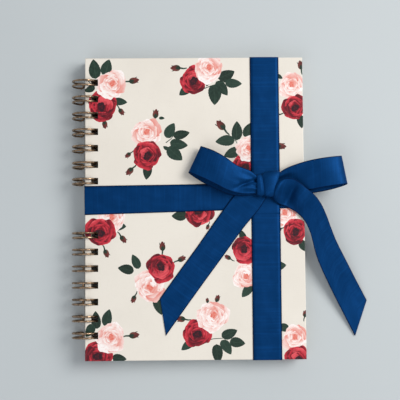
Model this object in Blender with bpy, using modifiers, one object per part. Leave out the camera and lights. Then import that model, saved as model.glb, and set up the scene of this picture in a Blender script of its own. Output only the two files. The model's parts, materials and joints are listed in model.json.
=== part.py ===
"""A wire-bound scrapbook album whose front cover is tied with a ribbon bow. Metres, +Z up.

X runs from the spine to the fore-edge, Y up the page. Everything that turns does so about the
axis of the wire loops, so each object's origin lies on that axis.
"""

import math

import bmesh
import bpy
from mathutils import Matrix, Vector

MM = 0.001

# Covers and leaves
COVER_WIDTH = 168 * MM
COVER_HEIGHT = 232 * MM
PAPER = 0.25 * MM
GLUE_GAP = 0.2 * MM
BOARD = 1.7 * MM
TURN_IN = 14 * MM
LEAF_COUNT = 10
LEAF_WIDTH = 165 * MM
LEAF_HEIGHT = 229 * MM
LEAF_CARD = 0.4 * MM
LEAF_GAP = 0.3 * MM

# Wire combs
LOOP_PITCH = 12.7 * MM
LOOPS_PER_COMB = 7
FIRST_LOOP_Y = 20.7 * MM
RING_RADIUS = 9.4 * MM
WIRE_RADIUS = 0.6 * MM
WIRE_SPREAD = 1.75 * MM
SEAM_ANGLE = math.radians(268)
SEAM_GAP = 1.6 * MM
LINK_FILLET = 1.2 * MM
ARC_STEPS = 14
TIP_STEPS = 4

# Punched holes, measured from the ring axis
HOLE_START = 5.1 * MM
HOLE_END = 10.6 * MM
HOLE_HEIGHT = 5.1 * MM

# Places along X, measured from the ring axis
COVER_EDGE = 0.6 * MM
LEAF_EDGE = 1.0 * MM

# Ribbon
RIBBON_WIDTH = 22.2 * MM
RIBBON = 0.25 * MM
RIBBON_GAP = 0.2 * MM
VERTICAL_BAND_X = 138.3 * MM
HORIZONTAL_BAND_Y = 6.7 * MM
HORIZONTAL_BAND_TURN = math.radians(0.6)
KNOT_CENTRE = (136.7, 17.1, 6.3)
KNOT_HALF_SIZES = (9.3, 8.5, 4.3)

# Worked out from the above
COVER = 2 * PAPER + 2 * GLUE_GAP + BOARD
RIBBON_ROOM = 2 * RIBBON + 3 * RIBBON_GAP
LEAF_PITCH = LEAF_CARD + LEAF_GAP
STACK = 2 * COVER + RIBBON_ROOM + LEAF_COUNT * LEAF_PITCH
STACK_TOP = STACK / 2
RING_OUTSIDE = RING_RADIUS + WIRE_RADIUS
LOOP_PLACES = [FIRST_LOOP_Y + LOOP_PITCH * i for i in range(LOOPS_PER_COMB)]
CUT_PAST = 1 * MM


def make_collection(name):
    collection = bpy.data.collections.new(name)
    bpy.context.scene.collection.children.link(collection)
    return collection


def make_material(name, colour, roughness, metallic=0.0):
    material = bpy.data.materials.new(name)
    material.use_nodes = True
    material.diffuse_color = (*colour, 1)
    shader = material.node_tree.nodes["Principled BSDF"]
    shader.inputs["Base Color"].default_value = (*colour, 1)
    shader.inputs["Roughness"].default_value = roughness
    shader.inputs["Metallic"].default_value = metallic
    return material


def add_object(name, data, collection, material=None):
    """Links data as an object that hangs on the ring axis."""
    made = bpy.data.objects.new(name, data)
    collection.objects.link(made)
    made.parent = bpy.data.objects["ring_axis"]
    if material:
        data.materials.append(material)
    return made


def add_box(name, low, high, collection, material=None):
    low, high = Vector(low), Vector(high)
    place = Matrix.Translation((low + high) / 2) @ Matrix.Diagonal((*(high - low), 1))
    bm = bmesh.new()
    bmesh.ops.create_cube(bm, size=1, matrix=place)
    mesh = bpy.data.meshes.new(name)
    bm.to_mesh(mesh)
    bm.free()
    return add_object(name, mesh, collection, material)


def make_cutter(made):
    made.hide_render = True
    made.display_type = "WIRE"
    return made


def cut(made, cutter):
    modifier = made.modifiers.new(cutter.name, "BOOLEAN")
    modifier.operation = "DIFFERENCE"
    modifier.solver = "EXACT"
    modifier.object = cutter


def make_punch(cutters):
    """One square bar for each wire loop, through the whole stack."""
    bm = bmesh.new()
    middle = (HOLE_START + HOLE_END) / 2
    size = Matrix.Diagonal((HOLE_END - HOLE_START, HOLE_HEIGHT, STACK + 2 * CUT_PAST, 1))
    for y in LOOP_PLACES + [-y for y in LOOP_PLACES]:
        bmesh.ops.create_cube(bm, size=1, matrix=Matrix.Translation((middle, y, 0)) @ size)
    mesh = bpy.data.meshes.new("punch")
    bm.to_mesh(mesh)
    bm.free()
    return make_cutter(add_object("punch", mesh, cutters))


def page_box(inset, low, high):
    """The corners of a cover-sized slab, drawn in by inset on all four sides."""
    half = COVER_HEIGHT / 2 - inset
    near = COVER_EDGE + inset
    far = COVER_EDGE + COVER_WIDTH - inset
    return (near, -half, low), (far, half, high)


def make_cover(side, outer, inward, parts, cutters, punch):
    """A board in a paper wrap whose turn-ins frame the endpaper.

    outer is the height of the outer face, and inward is +1 where the inside lies above it.
    """

    def level(depth):
        return outer + inward * depth

    def slab(name, inset, start, end, collection, material=None):
        low, high = sorted((level(start), level(end)))
        return add_box(name, *page_box(inset, low, high), collection, material)

    printed = make_material(f"{side}_printed_paper", (0.84, 0.79, 0.71), 0.5)
    grey = make_material(f"{side}_greyboard", (0.42, 0.40, 0.37), 0.9)
    ivory = make_material(f"{side}_endpaper", (0.88, 0.84, 0.76), 0.7)
    board_start = PAPER + GLUE_GAP
    wrap = slab(f"{side}_cover_wrap", 0, 0, COVER, parts, printed)
    pocket = slab(f"{side}_pocket", PAPER, PAPER, COVER - PAPER, cutters)
    window = slab(f"{side}_window", TURN_IN, COVER - 2 * PAPER, COVER + CUT_PAST, cutters)
    for cutter in (make_cutter(pocket), make_cutter(window), punch):
        cut(wrap, cutter)
    board = slab(f"{side}_cover_board", board_start, board_start, board_start + BOARD, parts, grey)
    cut(board, punch)
    slab(f"{side}_endpaper", TURN_IN + GLUE_GAP, COVER - PAPER, COVER, parts, ivory)


def make_leaves(parts, punch):
    card = make_material("leaf_card", (0.90, 0.87, 0.80), 0.8)
    top = STACK_TOP - COVER - RIBBON_ROOM
    for number in range(LEAF_COUNT):
        high = top - number * LEAF_PITCH
        low_corner = (LEAF_EDGE, -LEAF_HEIGHT / 2, high - LEAF_CARD)
        high_corner = (LEAF_EDGE + LEAF_WIDTH, LEAF_HEIGHT / 2, high)
        leaf = add_box(f"leaf_{number + 1:02d}", low_corner, high_corner, parts, card)
        cut(leaf, punch)


def on_ring(along, y):
    """A point on the wire's centreline, a given length round the loop from the seam."""
    angle = SEAM_ANGLE + along / RING_RADIUS
    return (RING_RADIUS * math.cos(angle), y, RING_RADIUS * math.sin(angle))


def loop_points(y):
    """One double loop: out of the seam, round to the tip, and back beside itself."""
    lift = LINK_FILLET * (1 - math.sqrt(0.5))
    tip = 2 * math.pi * RING_RADIUS - SEAM_GAP - WIRE_SPREAD
    out = [LINK_FILLET + (tip - LINK_FILLET) * i / ARC_STEPS for i in range(ARC_STEPS + 1)]
    points = [
        on_ring(0, y - WIRE_SPREAD - LINK_FILLET),
        on_ring(lift, y - WIRE_SPREAD - lift),
    ]
    points += [on_ring(along, y - WIRE_SPREAD) for along in out]
    for i in range(1, TIP_STEPS):
        turn = math.pi * i / TIP_STEPS
        points.append(on_ring(tip + WIRE_SPREAD * math.sin(turn), y - WIRE_SPREAD * math.cos(turn)))
    points += [on_ring(along, y + WIRE_SPREAD) for along in reversed(out)]
    points += [
        on_ring(lift, y + WIRE_SPREAD + lift),
        on_ring(0, y + WIRE_SPREAD + LINK_FILLET),
    ]
    return points


def make_comb(name, places, parts):
    """One wire bent into double loops that are joined by straight links at the seam."""
    bronze = make_material(name + "_bronze", (0.28, 0.16, 0.09), 0.35, 1.0)
    curve = bpy.data.curves.new(name, "CURVE")
    curve.dimensions = "3D"
    curve.bevel_depth = WIRE_RADIUS
    curve.bevel_resolution = 1
    curve.use_fill_caps = True
    points = [point for y in sorted(places) for point in loop_points(y)]
    spline = curve.splines.new("POLY")
    spline.points.add(len(points) - 1)
    for place, point in zip(spline.points, points):
        place.co = (*point, 1)
        place.radius = 1
    add_object(name, curve, parts, bronze)


def band_outline(half_length, out, crossing):
    """A ribbon's closed run round the front cover, seen along its width.

    out is how far it stands off the cover, and crossing is (start, end, step) where it rides
    over another ribbon, or None. Points are (length, height) from the middle of the cover.
    """
    half = COVER / 2 + out
    reach = half_length + out
    top = [(-reach, half), (reach, half)]
    if crossing:
        start, end, step = crossing
        ramp = 2 * step
        hump = [(start - ramp, half), (start, half + step), (end, half + step), (end + ramp, half)]
        top = [top[0], *hump, top[1]]
    return top + [(along, -height) for along, height in reversed(top)]


def make_band(name, half_length, crossing, material, parts):
    """Both surfaces of a ribbon as a flat outline with a hole, as deep as the ribbon is wide."""
    curve = bpy.data.curves.new(name, "CURVE")
    curve.dimensions = "2D"
    curve.fill_mode = "BOTH"
    curve.extrude = RIBBON_WIDTH / 2
    for out in (RIBBON_GAP + RIBBON, RIBBON_GAP):
        outline = band_outline(half_length, out, crossing)
        spline = curve.splines.new("POLY")
        spline.use_cyclic_u = True
        spline.points.add(len(outline) - 1)
        for place, (along, height) in zip(spline.points, outline):
            place.co = (along, height, 0, 1)
    return add_object(name, curve, parts, material)


def make_bands(navy, parts):
    middle_z = STACK_TOP - COVER / 2
    half = RIBBON_WIDTH / 2 + 0.5 * MM
    crossing_y = HORIZONTAL_BAND_Y + (VERTICAL_BAND_X - COVER_WIDTH / 2) * HORIZONTAL_BAND_TURN
    crossing = (crossing_y - half, crossing_y + half, RIBBON + RIBBON_GAP)
    vertical = make_band("ribbon_band_vertical", COVER_HEIGHT / 2, crossing, navy, parts)
    vertical.location = (COVER_EDGE + VERTICAL_BAND_X, 0, middle_z)
    vertical.rotation_euler = (math.pi / 2, 0, math.pi / 2)
    across = make_band("ribbon_band_horizontal", COVER_WIDTH / 2, None, navy, parts)
    across.location = (COVER_EDGE + COVER_WIDTH / 2, HORIZONTAL_BAND_Y, middle_z)
    across.rotation_euler = (math.pi / 2, 0, HORIZONTAL_BAND_TURN)


def on_cover(x, y, height):
    """A point in millimetres from the cover's spine edge, its middle and its outer face."""
    return Vector((COVER_EDGE + x * MM, y * MM, STACK_TOP + height * MM))


def smooth_through(points, u):
    """A point along a smooth curve through points, for u from 0 to 1."""
    place = min(u, 0.999999) * (len(points) - 1)
    i = int(place)
    t = place - i
    before = points[max(i - 1, 0)]
    start = points[i]
    end = points[i + 1]
    after = points[min(i + 2, len(points) - 1)]
    bend = 2 * before - 5 * start + 4 * end - after
    twist = 3 * start - before - 3 * end + after
    return start + 0.5 * t * ((end - before) + t * (bend + t * twist))


def make_strip(name, place, lengthwise, crosswise, material, parts):
    """A ribbon laid by place(u, v), where u runs along it and v across it, from 0 to 1."""
    bm = bmesh.new()
    bmesh.ops.create_grid(bm, x_segments=lengthwise, y_segments=crosswise, size=0.5)
    for vertex in bm.verts:
        vertex.co = place(vertex.co.x + 0.5, vertex.co.y + 0.5)
    mesh = bpy.data.meshes.new(name)
    bm.to_mesh(mesh)
    bm.free()
    made = add_object(name, mesh, parts, material)
    solid = made.modifiers.new("ribbon", "SOLIDIFY")
    solid.thickness = RIBBON
    solid.offset = 0


def make_loop(name, direction, profile, material, parts):
    """A bow loop: out from the knot along direction, over its end, and back above itself.

    profile holds (distance from the knot, height, half-width) in millimetres.
    """
    ahead = Vector((math.cos(direction), math.sin(direction), 0))
    aside = Vector((-ahead.y, ahead.x, 0))
    middle = [on_cover(*KNOT_CENTRE[:2], height) + ahead * far * MM for far, height, _ in profile]
    halves = [Vector((half, 0, 0)) for _, _, half in profile]

    def place(u, v):
        half = smooth_through(halves, u).x * MM
        return smooth_through(middle, u) + aside * half * (2 * v - 1)

    make_strip(name, place, 18, 2, material, parts)


def make_tail(name, edges, material, parts):
    """A bow tail stretched between its two edges, each a list of on_cover places."""
    first, second = [[on_cover(*place) for place in edge] for edge in edges]

    def place(u, v):
        return smooth_through(first, u).lerp(smooth_through(second, u), v)

    make_strip(name, place, 16, 2, material, parts)


def make_knot(navy, parts):
    bm = bmesh.new()
    size = Matrix.Diagonal((*[half * MM for half in KNOT_HALF_SIZES], 1))
    place = Matrix.Translation(on_cover(*KNOT_CENTRE)) @ size
    bmesh.ops.create_uvsphere(bm, u_segments=14, v_segments=8, radius=1, matrix=place)
    mesh = bpy.data.meshes.new("bow_knot")
    bm.to_mesh(mesh)
    bm.free()
    mesh.shade_smooth()
    add_object("bow_knot", mesh, parts, navy)


def make_bow(navy, parts):
    make_knot(navy, parts)
    left_profile = [
        (10.5, 3.4, 6.5), (18, 2.6, 9), (30, 2.2, 11.1), (44, 2.2, 11.1), (52, 3.4, 11.1),
        (55.5, 6.6, 11.1), (52, 10.2, 11.1), (42, 11.8, 11.1), (28, 10.8, 11.1), (17, 8.6, 9),
        (10.5, 7.4, 6.5),
    ]
    right_profile = [
        (10.5, 3.0, 6), (18, 2.4, 6.5), (30, 2.2, 9.5), (48, 2.2, 11.1), (58, 3.4, 11.1),
        (62, 6.8, 11.1), (58, 10.6, 11.1), (47, 11.6, 11.1), (32, 8.2, 9.8), (20, 5.8, 6.5),
        (10.5, 5.4, 6),
    ]
    make_loop("bow_loop_left", math.radians(157), left_profile, navy, parts)
    make_loop("bow_loop_right", math.radians(12), right_profile, navy, parts)
    left_tail = (
        [(128, 17, 1.45), (120, 13.5, 1.45), (113.7, 8.7, 1.4), (85.3, -30.2, 0.4),
         (56.9, -68.9, 0.4)],
        [(139.5, 10, 1.45), (137.6, 5, 1.45), (127, -9.8, 1.4), (97.5, -47.5, 0.4),
         (61.2, -97.4, 0.4)],
    )
    right_tail = (
        [(148, 19.5, 7.8), (155, 18.5, 8.6), (162, 14.8, 8.4), (169, 9.5, 7.0), (177.5, 1, 4.2),
         (183.5, -10, 1.6), (190.5, -24, -1.5), (203, -47, -6.5), (216.5, -72, -11)],
        [(143.5, 4.5, 2.6), (149.5, -0.5, 1.7), (157, -4, 1.5), (164.5, -9.5, 1.5),
         (170.5, -19.5, 1.4), (175, -33, -0.5), (182, -50, -3.7), (193, -72, -7.5),
         (207, -99.5, -11)],
    )
    make_tail("bow_tail_left", left_tail, navy, parts)
    make_tail("bow_tail_right", right_tail, navy, parts)


def rest_angle():
    """How far the stack leans so that the loops and the back cover's fore-edge share a table."""
    far = COVER_EDGE + COVER_WIDTH
    return math.asin(RING_OUTSIDE / math.hypot(far, STACK_TOP)) - math.atan2(STACK_TOP, far)


def make_ring_axis():
    axis = bpy.data.objects.new("ring_axis", None)
    bpy.context.scene.collection.objects.link(axis)
    axis.rotation_euler = (0, rest_angle(), 0)
    return axis


def stand_on_origin(axis, parts):
    """Moves the album so that its box stands centred on the origin."""
    bpy.context.view_layer.update()
    graph = bpy.context.evaluated_depsgraph_get()
    corners = []
    for made in parts.objects:
        held = made.evaluated_get(graph)
        corners += [held.matrix_world @ vertex.co for vertex in held.to_mesh().vertices]
        held.to_mesh_clear()
    low = [min(corner[i] for corner in corners) for i in range(3)]
    high = [max(corner[i] for corner in corners) for i in range(3)]
    axis.location = (-(low[0] + high[0]) / 2, -(low[1] + high[1]) / 2, -low[2])
    bpy.context.view_layer.update()


def main():
    for old in list(bpy.data.objects):
        bpy.data.objects.remove(old)
    parts = make_collection("scrapbook_album")
    cutters = make_collection("cutters")
    axis = make_ring_axis()
    punch = make_punch(cutters)
    make_cover("front", STACK_TOP, -1, parts, cutters, punch)
    make_cover("back", -STACK_TOP, 1, parts, cutters, punch)
    make_leaves(parts, punch)
    make_comb("wire_comb_upper", LOOP_PLACES, parts)
    make_comb("wire_comb_lower", [-y for y in LOOP_PLACES], parts)
    navy = make_material("navy_grosgrain", (0.012, 0.045, 0.15), 0.55)
    make_bands(navy, parts)
    make_bow(navy, parts)
    stand_on_origin(axis, parts)


main()
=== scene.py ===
"""Finish for a wire-bound scrapbook album: printed covers, bronze wire and a ribbon bow.

Metres, +Z up. Print and ribbon points are millimetres on the front cover: across from its spine
edge, up the page from its middle, and above its outer face.
"""

import json
import math
from typing import NamedTuple

import bmesh
import bpy
from bpy.props import FloatProperty, FloatVectorProperty, IntProperty, PointerProperty
from mathutils import Matrix, Vector
from mathutils.geometry import delaunay_2d_cdt, intersect_point_line


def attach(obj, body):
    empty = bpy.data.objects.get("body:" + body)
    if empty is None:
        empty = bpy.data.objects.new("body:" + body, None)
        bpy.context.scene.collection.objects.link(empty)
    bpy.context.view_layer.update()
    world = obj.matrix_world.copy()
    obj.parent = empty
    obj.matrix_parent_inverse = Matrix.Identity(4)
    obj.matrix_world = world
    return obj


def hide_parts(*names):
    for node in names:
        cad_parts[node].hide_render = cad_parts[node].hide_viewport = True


bl_info = {
    "name": "Scrapbook Album",
    "version": (1, 0, 0),
    "blender": (4, 5, 0),
    "location": "3D View > Sidebar > Album",
    "description": "Dresses a wire-bound scrapbook album in printed paper, wire and ribbon",
    "category": "Object",
}

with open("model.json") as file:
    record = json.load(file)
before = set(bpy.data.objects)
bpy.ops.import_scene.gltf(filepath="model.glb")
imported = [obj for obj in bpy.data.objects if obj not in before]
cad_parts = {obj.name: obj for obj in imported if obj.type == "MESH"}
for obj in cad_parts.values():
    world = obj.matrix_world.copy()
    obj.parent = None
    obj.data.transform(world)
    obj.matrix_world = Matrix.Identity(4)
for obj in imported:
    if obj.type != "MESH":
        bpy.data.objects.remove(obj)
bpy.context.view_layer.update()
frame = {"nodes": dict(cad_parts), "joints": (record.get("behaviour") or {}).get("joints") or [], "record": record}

MM = 0.001
WELD = 0.0005 * MM  # points closer than this are one point

# The book's own directions: its axis is the wire loops', X to the fore-edge, Z through the covers
HINGE = next(joint for joint in frame["joints"] if joint["name"] == "front_cover_hinge")
REST_NORMAL = Vector(frame["record"]["mounts"][0]["axis"])
REST_TILT = math.atan2(-REST_NORMAL.x, -REST_NORMAL.z)
BOOK = Matrix.Translation(HINGE["pos_m"]) @ Matrix.Rotation(REST_TILT, 4, "Y")

# Punched holes and folded edges, in millimetres on a cover
HOLE_START = 4.5
HOLE_END = 10.0
HOLE_HALF = 2.55
LOOP_PITCH = 12.7
LOOPS_PER_COMB = 7
FIRST_LOOP_Y = 20.7
LOOP_PLACES = [FIRST_LOOP_Y + LOOP_PITCH * i for i in range(LOOPS_PER_COMB)]
TURN_IN = 14.0
FOLD_STEPS = 4

# Wire loops, in metres
RING_RADIUS = 9.4 * MM
WIRE_SPREAD = 1.75 * MM
SEAM_ANGLE = math.radians(268)
SEAM_GAP = 1.6 * MM
LINK_FILLET = 1.2 * MM
LINK_STEPS = 4
ARC_STEPS = 44
TIP_STEPS = 8

# Ribbon and its two bands, in millimetres on the front cover
RIBBON_CLOTH = "ribbed_navy_ribbon"
RIBBON_WIDTH = 22.2
# Where the ribbon darkens along both edges, measured from its middle: its plain woven edge, with painted shade
# along it
SELVEDGE_START = 10.15
SELVEDGE_END = 10.75
YARN_PITCH = 0.34
BAND_LIFT = 0.325
BAND_CORNER = 0.8
BAND_CROWN = 0.06
BAND_GATHER = 2.8
CROSSING_MARGIN = 0.5
CROSSING_STEP = 0.45
UPRIGHT_BAND_X = 138.3
ACROSS_BAND_Y = 6.7
ACROSS_BAND_TURN = 0.6

# The bow's knot, in millimetres on the front cover
KNOT_Y = 16.6
KNOT_HALF_LENGTH = 8.3
KNOT_HEIGHT = 5.4
KNOT_HALF_HEIGHT = 3.1
KNOT_SQUARENESS = 2.6
KNOT_NEAR_END = 8.3
KNOT_SPAN = 17.0
KNOT_LEFT = 131.0
KNOT_RIGHT = 143.6

# Camera: what it looks at on the front cover, in millimetres, and its angles in degrees
CAMERA_TARGET = (87.9, 5.7)
CAMERA_LEAN = 4.15
CAMERA_ROLL = -0.45

# Printed inks, in the order of the cover's material slots, and the points round a painted shape
GROUND, RED, PINK, LEAF, BUD = range(5)
PETAL_STEPS = 24
LEAF_STEPS = 15


def book_box(node):
    """Lowest and highest corner of a CAD node, measured along the book's own directions."""
    unturned = BOOK.inverted()
    places = [unturned @ vertex.co for vertex in frame["nodes"][node].data.vertices]
    low = Vector([min(place[i] for place in places) for i in range(3)])
    high = Vector([max(place[i] for place in places) for i in range(3)])
    return low, high


FRONT_LOW, FRONT_HIGH = book_box("front_cover_wrap")
BACK_LOW, _ = book_box("back_cover_wrap")
COVER_WIDTH = (FRONT_HIGH.x - FRONT_LOW.x) / MM
COVER_HEIGHT = (FRONT_HIGH.y - FRONT_LOW.y) / MM
COVER_THICKNESS = (FRONT_HIGH.z - FRONT_LOW.z) / MM


def on_cover(x, y, height=0.0):
    """A place in the row frame from millimetres on the front cover."""
    return BOOK @ Vector((FRONT_LOW.x + x * MM, y * MM, FRONT_HIGH.z + height * MM))


def heading(turn):
    """A unit step on the page in a direction given in degrees, 0 to the fore-edge."""
    return Vector((math.cos(math.radians(turn)), math.sin(math.radians(turn))))


def smooth_through(points, u):
    """A place along a smooth curve through points, for u from 0 to 1."""
    place = min(u, 0.999999) * (len(points) - 1)
    i = int(place)
    t = place - i
    before = points[max(i - 1, 0)]
    start = points[i]
    end = points[i + 1]
    after = points[min(i + 2, len(points) - 1)]
    bend = 2 * before - 5 * start + 4 * end - after
    twist = 3 * start - before - 3 * end + after
    return start + 0.5 * t * ((end - before) + t * (bend + t * twist))


def ease(value, low, high):
    """0 below low, 1 above high, and a smooth rise between them."""
    t = min(max((value - low) / (high - low), 0), 1)
    return t * t * (3 - 2 * t)


# Settings


class AlbumPaperSettings(bpy.types.PropertyGroup):
    """Colours and folds of the printed cover paper."""

    ground: FloatVectorProperty(
        name="Ground", description="Cream of the unprinted cover paper",
        subtype="COLOR", size=3, min=0, max=1, default=(0.84, 0.785, 0.70),
    )
    red: FloatVectorProperty(
        name="Red rose", description="Body colour of the red petals",
        subtype="COLOR", size=3, min=0, max=1, default=(0.56, 0.026, 0.045),
    )
    pink: FloatVectorProperty(
        name="Pink rose", description="Body colour of the pink petals",
        subtype="COLOR", size=3, min=0, max=1, default=(0.95, 0.72, 0.67),
    )
    green: FloatVectorProperty(
        name="Leaf", description="Body colour of the printed leaves",
        subtype="COLOR", size=3, min=0, max=1, default=(0.013, 0.032, 0.022),
    )
    fold_radius: FloatProperty(
        name="Fold radius", description="Outer radius where the paper turns over the board",
        subtype="DISTANCE", unit="LENGTH", min=0.3 * MM, max=1.2 * MM, default=0.6 * MM,
    )
    thickness: FloatProperty(
        name="Paper thickness", description="Thickness of the cover paper",
        subtype="DISTANCE", unit="LENGTH", min=0.1 * MM, max=0.25 * MM, default=0.22 * MM,
    )


class AlbumWireSettings(bpy.types.PropertyGroup):
    """Gauge and finish of the wire combs."""

    radius: FloatProperty(
        name="Wire radius", description="Half the wire's thickness",
        subtype="DISTANCE", unit="LENGTH", min=0.3 * MM, max=0.8 * MM, default=0.75 * MM,
    )
    roundness: IntProperty(
        name="Roundness", description="Steps in a quarter of the wire's outline",
        min=1, max=6, default=3,
    )
    bronze: FloatVectorProperty(
        name="Bronze", description="Colour of the wire's worn crowns",
        subtype="COLOR", size=3, min=0, max=1, default=(0.66, 0.45, 0.29),
    )


class AlbumRibbonSettings(bpy.types.PropertyGroup):
    """Cloth of the ribbon."""

    navy: FloatVectorProperty(
        name="Navy", description="Colour of the ribbon's ribs",
        subtype="COLOR", size=3, min=0, max=1, default=(0.0018, 0.044, 0.165),
    )
    thickness: FloatProperty(
        name="Thickness", description="Thickness of the ribbon's cloth",
        subtype="DISTANCE", unit="LENGTH", min=0.1 * MM, max=0.4 * MM, default=0.3 * MM,
    )
    rib_pitch: FloatProperty(
        name="Rib pitch", description="Distance from one woven rib to the next",
        subtype="DISTANCE", unit="LENGTH", min=0.3 * MM, max=2 * MM, default=0.8 * MM,
    )


class AlbumStageSettings(bpy.types.PropertyGroup):
    """Floor and camera."""

    floor: FloatVectorProperty(
        name="Floor", description="Colour of the floor",
        subtype="COLOR", size=3, min=0, max=1, default=(0.56, 0.60, 0.615),
    )
    distance: FloatProperty(
        name="Camera distance", description="From the camera to the middle of its view",
        subtype="DISTANCE", unit="LENGTH", min=0.4, max=2, default=0.8,
    )
    lens: FloatProperty(
        name="Lens", description="Focal length of the camera in millimetres",
        subtype="DISTANCE_CAMERA", unit="CAMERA", min=35, max=200, default=94,
    )


# Shader helpers


def add_node(tree, kind, **settings):
    """A node of a kind, with its own settings given by name."""
    made = tree.nodes.new(kind)
    for name, value in settings.items():
        setattr(made, name, value)
    return made


def feed(tree, socket, value):
    """Links an output into a socket, or sets the socket to a plain value."""
    if isinstance(value, bpy.types.NodeSocket):
        tree.links.new(value, socket)
    elif socket.type == "RGBA" and len(value) == 3:
        socket.default_value = (*value, 1)
    else:
        socket.default_value = value


def maths(tree, operation, *values):
    """The result of a Math node on sockets or plain values."""
    made = add_node(tree, "ShaderNodeMath", operation=operation)
    for socket, value in zip(made.inputs, values):
        feed(tree, socket, value)
    return made.outputs[0]


def blend_colour(tree, factor, first, second, mode="MIX"):
    """The first colour turning into the second as factor goes from 0 to 1."""
    made = add_node(tree, "ShaderNodeMix", data_type="RGBA", blend_type=mode)
    feed(tree, made.inputs["Factor"], factor)
    feed(tree, made.inputs["A"], first)
    feed(tree, made.inputs["B"], second)
    return made.outputs["Result"]


def ramp(tree, value, low, high, start=0.0, end=1.0):
    """A smooth change from start to end as value goes from low to high."""
    made = add_node(tree, "ShaderNodeMapRange", interpolation_type="SMOOTHSTEP")
    feed(tree, made.inputs["Value"], value)
    made.inputs["From Min"].default_value = low
    made.inputs["From Max"].default_value = high
    made.inputs["To Min"].default_value = start
    made.inputs["To Max"].default_value = end
    return made.outputs["Result"]


def noise(tree, vector, scale, detail=3.0, roughness=0.55):
    """Soft random values from 0 to 1, at a number of cells to the metre."""
    made = add_node(tree, "ShaderNodeTexNoise")
    feed(tree, made.inputs["Vector"], vector)
    made.inputs["Scale"].default_value = scale
    made.inputs["Detail"].default_value = detail
    made.inputs["Roughness"].default_value = roughness
    return made.outputs["Fac"]


def stretched(tree, vector, scale):
    """Places scaled by a different amount along each direction."""
    made = add_node(tree, "ShaderNodeMapping")
    feed(tree, made.inputs["Vector"], vector)
    made.inputs["Scale"].default_value = scale
    return made.outputs["Vector"]


def bump(tree, height, strength, distance):
    """A normal that follows height, for relief of a given depth in metres."""
    made = add_node(tree, "ShaderNodeBump")
    feed(tree, made.inputs["Height"], height)
    made.inputs["Strength"].default_value = strength
    made.inputs["Distance"].default_value = distance
    return made.outputs["Normal"]


def new_group(name, inputs, outputs):
    """An empty node group with named sockets, given as {name: (type, default)} and {name: type}."""
    group = bpy.data.node_groups.new(name, "ShaderNodeTree")
    for label, (kind, default) in inputs.items():
        socket = group.interface.new_socket(label, in_out="INPUT", socket_type=kind)
        if default is not None:
            socket.default_value = default
    for label, kind in outputs.items():
        group.interface.new_socket(label, in_out="OUTPUT", socket_type=kind)
    return group, add_node(group, "NodeGroupInput"), add_node(group, "NodeGroupOutput")


def place_group(tree, name, make, **values):
    """Puts a shared group in a material, its inputs given by name with _ for a space.

    make builds the group the first time that it is asked for.
    """
    group = bpy.data.node_groups.get(name) or make(name)
    made = add_node(tree, "ShaderNodeGroup", node_tree=group)
    for label, value in values.items():
        feed(tree, made.inputs[label.replace("_", " ")], value)
    return made


def new_material(name):
    """A material with nodes, its tree and its Principled BSDF."""
    material = bpy.data.materials.new(name)
    material.use_nodes = True
    return material, material.node_tree, material.node_tree.nodes["Principled BSDF"]


# Shared effects


def make_fibre_group(name):
    """Paper and card: short fibres, slow mottling and a fine tooth."""
    group, given, made = new_group(
        name,
        {
            "Vector": ("NodeSocketVector", None),
            "Colour": ("NodeSocketColor", (0.8, 0.75, 0.66, 1)),
            "Fibre Colour": ("NodeSocketColor", (0.5, 0.45, 0.4, 1)),
            "Fibre": ("NodeSocketFloat", 0.2),
            "Mottle": ("NodeSocketFloat", 0.1),
        },
        {"Colour": "NodeSocketColor", "Height": "NodeSocketFloat"},
    )
    vector = given.outputs["Vector"]
    long_way = noise(group, stretched(group, vector, (260, 1600, 1600)), 1.0)
    cross_way = noise(group, stretched(group, vector, (1500, 240, 1500)), 1.0)
    fibres = ramp(group, maths(group, "MAXIMUM", long_way, cross_way), 0.56, 0.72)
    cloud = ramp(group, noise(group, vector, 22.0, 4.0), 0.35, 0.7)
    darker = blend_colour(group, 1.0, given.outputs["Colour"], (0.86, 0.85, 0.84), "MULTIPLY")
    mottled = blend_colour(
        group, maths(group, "MULTIPLY", cloud, given.outputs["Mottle"]),
        given.outputs["Colour"], darker,
    )
    shown = blend_colour(
        group, maths(group, "MULTIPLY", fibres, given.outputs["Fibre"]),
        mottled, given.outputs["Fibre Colour"],
    )
    feed(group, made.inputs["Colour"], shown)
    tooth = noise(group, vector, 3200.0, 2.0)
    feed(group, made.inputs["Height"], maths(group, "ADD", fibres, tooth))
    return group


def make_tooth_group(name):
    """Satin cover paper: a fine tooth that breaks up its shine."""
    group, given, made = new_group(
        name,
        {"Vector": ("NodeSocketVector", None)},
        {"Roughness": "NodeSocketFloat", "Height": "NodeSocketFloat"},
    )
    tooth = noise(group, given.outputs["Vector"], 2600.0, 2.0)
    feed(group, made.inputs["Roughness"], ramp(group, tooth, 0.3, 0.7, 0.42, 0.52))
    feed(group, made.inputs["Height"], tooth)
    return group


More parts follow.
